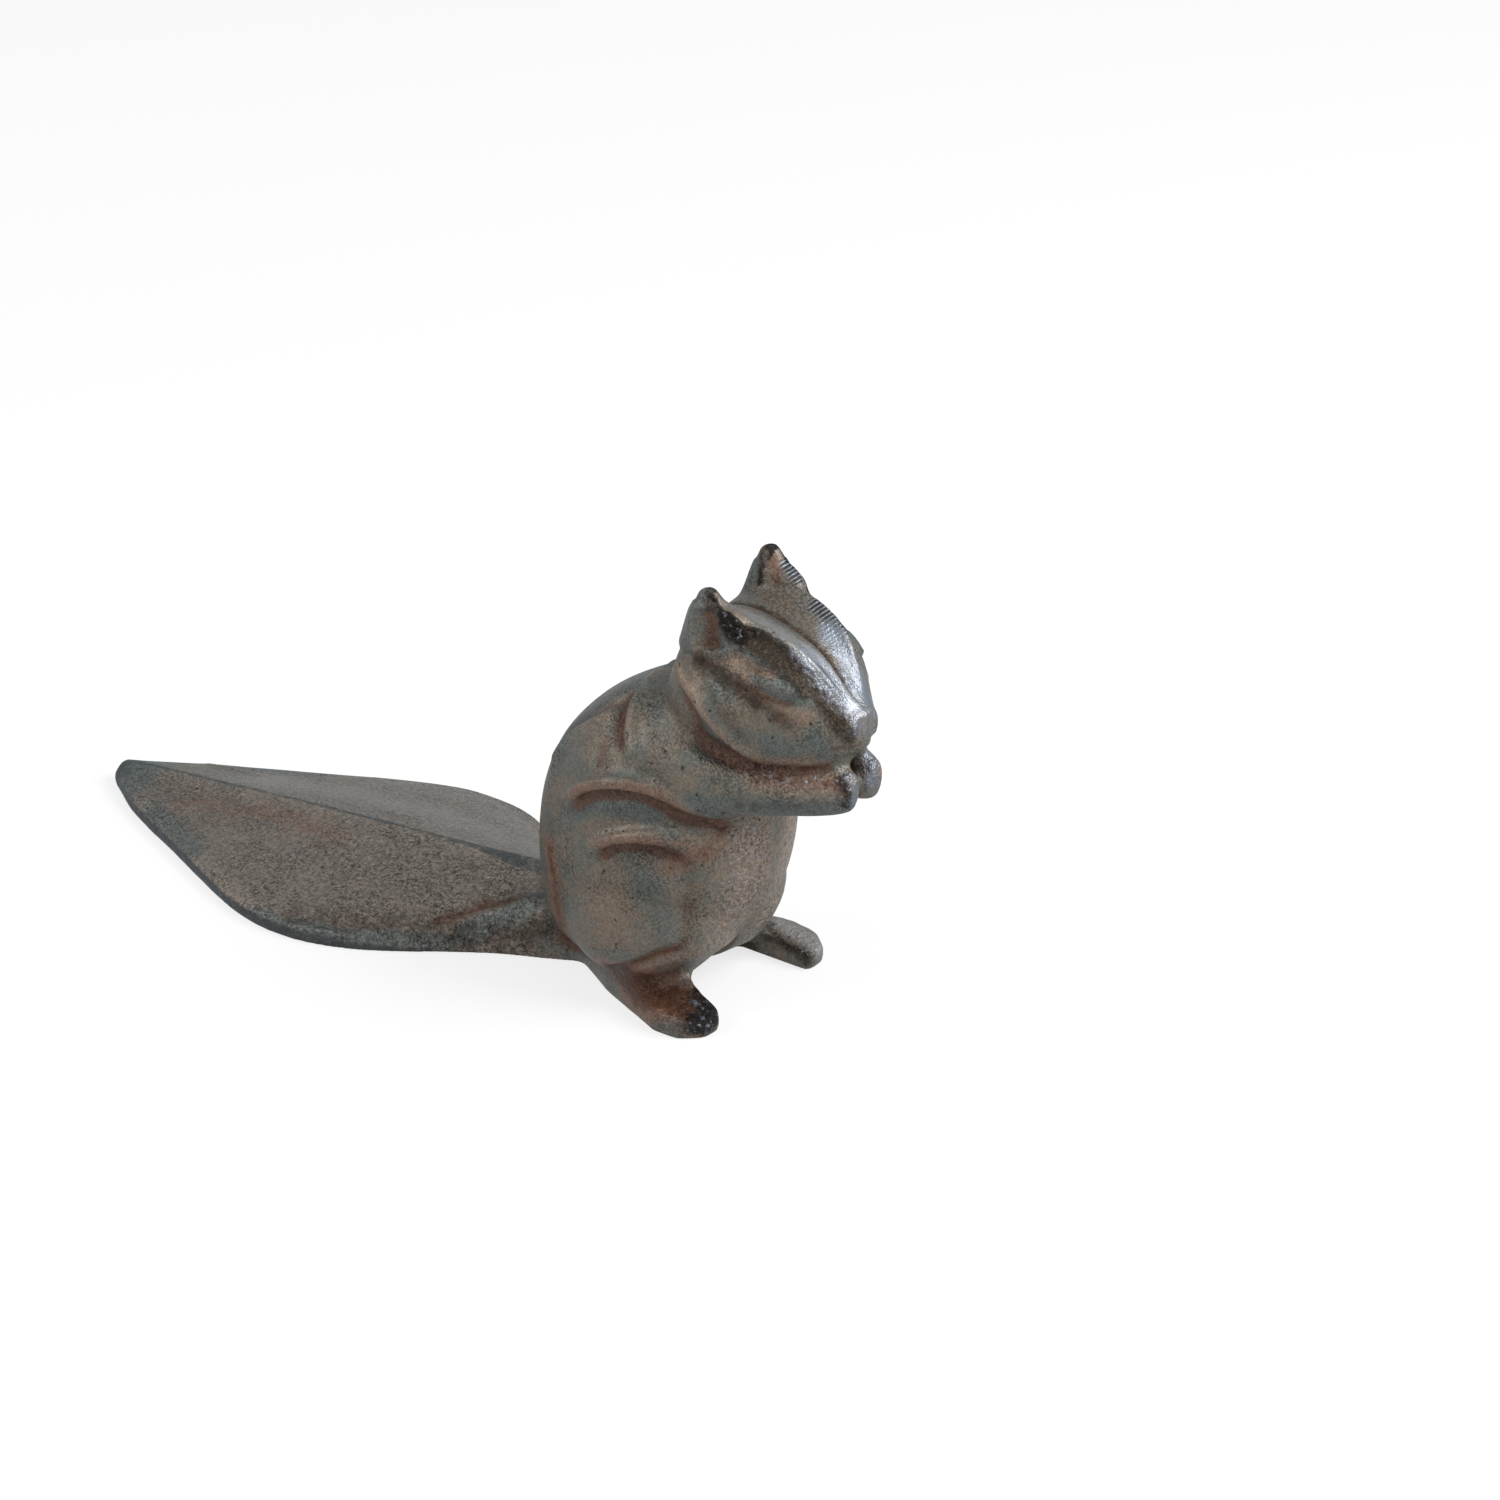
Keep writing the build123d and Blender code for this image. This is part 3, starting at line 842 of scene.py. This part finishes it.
filed = mark("filed") * between(stroke + 1.6 * (cloud(1.6, 3.0, 0.4) - 0.5), 0.0, 0.8)
rough = pebbly + 0.35 * tail + 0.4 * sooty + 0.35 * burnt
glint = between(fleck, 0.57, 0.68) * between(rough, 0.1, 0.9)
pit = between(cloud(1.5, 1.0, 0.21), 0.71, 0.77)
dirt = between(cloud(9.0, 3.0, 0.62) + 0.1 * tail, 0.4, 0.7)

colour = tint(between(blotch, 0.36, 0.66), BROWN, SLATE)
colour = tint(0.8 * tail, colour, TAIL_BROWN)
# cooler blue scale, and painted sheen and floor reflection on the arm undersides and back beads
colour = tint(0.85 * blue_scale_and_sheen, colour, COOL_SCALE_AND_SHEEN)
colour = tint(0.1 * rubbed + 0.65 * warm, colour, TAN)
colour = tint(0.55 * pebbly, colour, PALE)
colour = tint(0.85 * rusty, colour, RUST)
colour = tint(between(mark("rust") + cloud(1.6, 3.0, 0.66) - 0.5, 0.7, 1.2), colour, DEEP_RUST)
lit = 1.34 - (0.34 + 0.4 * dirt) * between(grain, 0.38, 0.62) + 0.4 * (sand - 0.5)
gritty = tail * (0.4 + 0.6 * between(across, -75 * MM, -10 * MM))
lit = lit + (0.12 + 0.42 * gritty + 0.35 * pebbly) * (between(coarse, 0.36, 0.64) - 0.5)
# painted shade: darker in the hollows and creases, over broad and fine forms
painted_hollow_shade = 1.12 - 0.3 * between(mark("cavity"), -0.8, 0.8) - 0.15 * between(mark("hollow"), 0.0, 2.0)
colour = shade(colour, lit * painted_hollow_shade)
# grey wear, and painted sheen on the tail's left slope and on the skull strip
colour = tint(between(mark("sheen_and_wear"), 0.0, 1.3) * (1 - 0.4 * between(grain, 0.45, 0.7)), colour, SHEEN_AND_WEAR_GREY)
# painted shadow under the tail's ridge and painted shade on its steep sides, over dark scale at the
# tip
colour = tint(0.9 * between(rim + 1.3 * (cloud(2.5, 3.0, 0.12) - 0.5), 0.3, 1.1), colour, SCALE_AND_SHADE)
colour = tint(0.88 * burnt, colour, BURNT)
colour = tint(0.95 * sooty, colour, SOOT)
colour = tint(0.7 * pit, colour, SOOT)
colour = tint(0.75 * between(mark("filed") - filed, 0.1, 0.7), colour, SOOT)
# bare filed metal and glints, and painted highlight along the tail ridge and over the skull strip
metal_and_highlight = between(0.8 * bare_and_highlit + 1.2 * filed + 0.5 * glint, 0.0, 1.0)
colour = tint(metal_and_highlight, colour, BARE_AND_HIGHLIGHT)
# polished metal, made lighter still as painted sheen on the skull strip
colour = tint(0.5 * metal_and_highlight * between(mark("sheen_and_wear"), 0.2, 1.3), colour, POLISHED_AND_SHEEN)
feed(iron_shader, "Base Color", colour)
feed(iron_shader, "Metallic", 0.55 + 0.35 * metal_and_highlight - 0.4 * rusty + 0.4 * sooty)
feed(iron_shader, "Roughness", 0.48 + 0.35 * (sand - 0.5) + 0.12 * sooty - 0.1 * metal_and_highlight)
iron_shader.inputs["Specular IOR Level"].default_value = 0.2
iron_shader.inputs["Specular Tint"].default_value = SHEEN
sandy = (0.12 + 0.2 * dirt) * (1 - grain) + 0.25 * sand * (0.5 + 1.1 * tail)
crust = 0.9 * (sooty + burnt) * cloud(1.4, 2.0, 0.25)
height = sandy + 1.3 * pebbly * cloud(1.2, 1.0, 0.8) + 0.35 * tail * coarse + crust
height = height - 0.1 * pit + 0.1 * filed
feed(iron_shader, "Normal", relief(height))
for piece in castings.values():
    piece.data.materials.append(iron)


# Two dowels: ground steel pins pressed half way into each casting so that the halves line
# up. They are hidden once the halves are closed.
pin_steel, pin_shader, ground = new_finish("pin_steel")
place = ground.node("TexCoord", out="Object")
brushed = place.node("TexNoise", None, {"Vector": place, "Scale": 1 / (0.8 * MM), "Detail": 3.0})
feed(pin_shader, "Base Color", tint(brushed, (0.34, 0.34, 0.35, 1), (0.5, 0.5, 0.5, 1)))
feed(pin_shader, "Roughness", 0.25 + 0.2 * brushed)
pin_shader.inputs["Metallic"].default_value = 1.0
for name in ("head_dowel", "tail_dowel"):
    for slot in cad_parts[name].material_slots:
        slot.material = pin_steel


# The tie screw: a slotted countersunk steel screw through the left flank into the right
# half, browned over with the casting so that only its slot shows.
screw_steel, screw_shader, ground = new_finish("screw_steel")
place = ground.node("TexCoord", out="Object")
wash = place.node("TexNoise", None, {"Vector": place, "Scale": 1 / (2.5 * MM), "Detail": 4.0})
scratch = place.node("TexNoise", None, {"Vector": place, "Scale": 1 / (0.7 * MM), "Detail": 2.0})
bare_steel = between(wash + 0.5 * scratch, 0.72, 0.95)
feed(screw_shader, "Base Color", tint(bare_steel, (0.10, 0.075, 0.058, 1), (0.36, 0.35, 0.34, 1)))
feed(screw_shader, "Metallic", 0.2 + 0.7 * bare_steel)
feed(screw_shader, "Roughness", 0.55 - 0.2 * bare_steel)
feed(screw_shader, "Normal", relief(0.05 * scratch))
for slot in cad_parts["tie_screw"].material_slots:
    slot.material = screw_steel


# Studio: a plain white paper floor that keeps the shadow, a softbox behind to the right and one
# in front to the left with white fill, and the camera where the photograph was taken from.
bpy.ops.mesh.primitive_plane_add(size=6)
floor = bpy.context.object
floor.name = "floor"
paper, paper_shader, ground = new_finish("paper")
paper_shader.inputs["Base Color"].default_value = (0.9, 0.9, 0.9, 1)
paper_shader.inputs["Roughness"].default_value = 1.0
paper_shader.inputs["Specular IOR Level"].default_value = 0.0
GLOW = 0.74                      # how far the paper looks plain white to the lens


def seen(wire):
    """1 where the lens looks, also by way of a mirror or through glass."""
    ray = wire.node("LightPath", out="Is Camera Ray")
    for kind in ("Is Glossy Ray", "Is Transmission Ray"):
        ray = wire.maths("MAXIMUM", ray, wire.node("LightPath", out=kind))
    return ray


white = ground.node("Emission", None, {"Color": (1, 1, 1, 1), "Strength": 1.0})
matt = Wire(paper.node_tree, paper_shader.outputs[0])
sheet = ground.node("MixShader", None, {0: GLOW * seen(ground), 1: matt, 2: white})
paper.node_tree.links.new(sheet.socket, paper.node_tree.nodes["Material Output"].inputs["Surface"])
floor.data.materials.append(paper)

FILL = 0.44                      # white fill from all round, plain white to the lens
world = bpy.data.worlds.new("studio")
bpy.context.scene.world = world
world.use_nodes = True
sky = world.node_tree.nodes["Background"]
sky.inputs["Color"].default_value = (1, 1, 1, 1)
air = Wire(world.node_tree)
feed(sky, "Strength", FILL + (1 - FILL) * seen(air))

SOFTBOXES = {"key": ((0.75, 0.30, 0.65), 12.0), "front": ((-0.55, -0.70, 0.75), 6.2)}
LIT_SPOT = Vector((0.02, 0, 0.04))
for name, (spot, power) in SOFTBOXES.items():
    softbox = bpy.data.lights.new(name, "AREA")
    softbox.size = 0.7
    softbox.energy = power
    lamp = bpy.data.objects.new(name, softbox)
    lamp.location = spot
    lamp.rotation_euler = (LIT_SPOT - lamp.location).to_track_quat("-Z", "Y").to_euler()
    bpy.context.collection.objects.link(lamp)

lens = bpy.data.cameras.new("camera")
lens.sensor_width = 36.0
lens.lens = 140.256
eye = bpy.data.objects.new("camera", lens)
azimuth, elevation, distance = math.radians(36.0), math.radians(25.8), 1.2
aim = Vector((0.03794, 0.04256, 0.02875))    # middle of the photograph, to the figure's left
level = math.cos(elevation)
back = Vector((math.sin(azimuth) * level, -math.cos(azimuth) * level, math.sin(elevation)))
eye.location = aim + distance * back
eye.rotation_euler = back.to_track_quat("Z", "Y").to_euler()
bpy.context.collection.objects.link(eye)
bpy.context.scene.camera = eye
bpy.context.scene.view_settings.view_transform = "Standard"
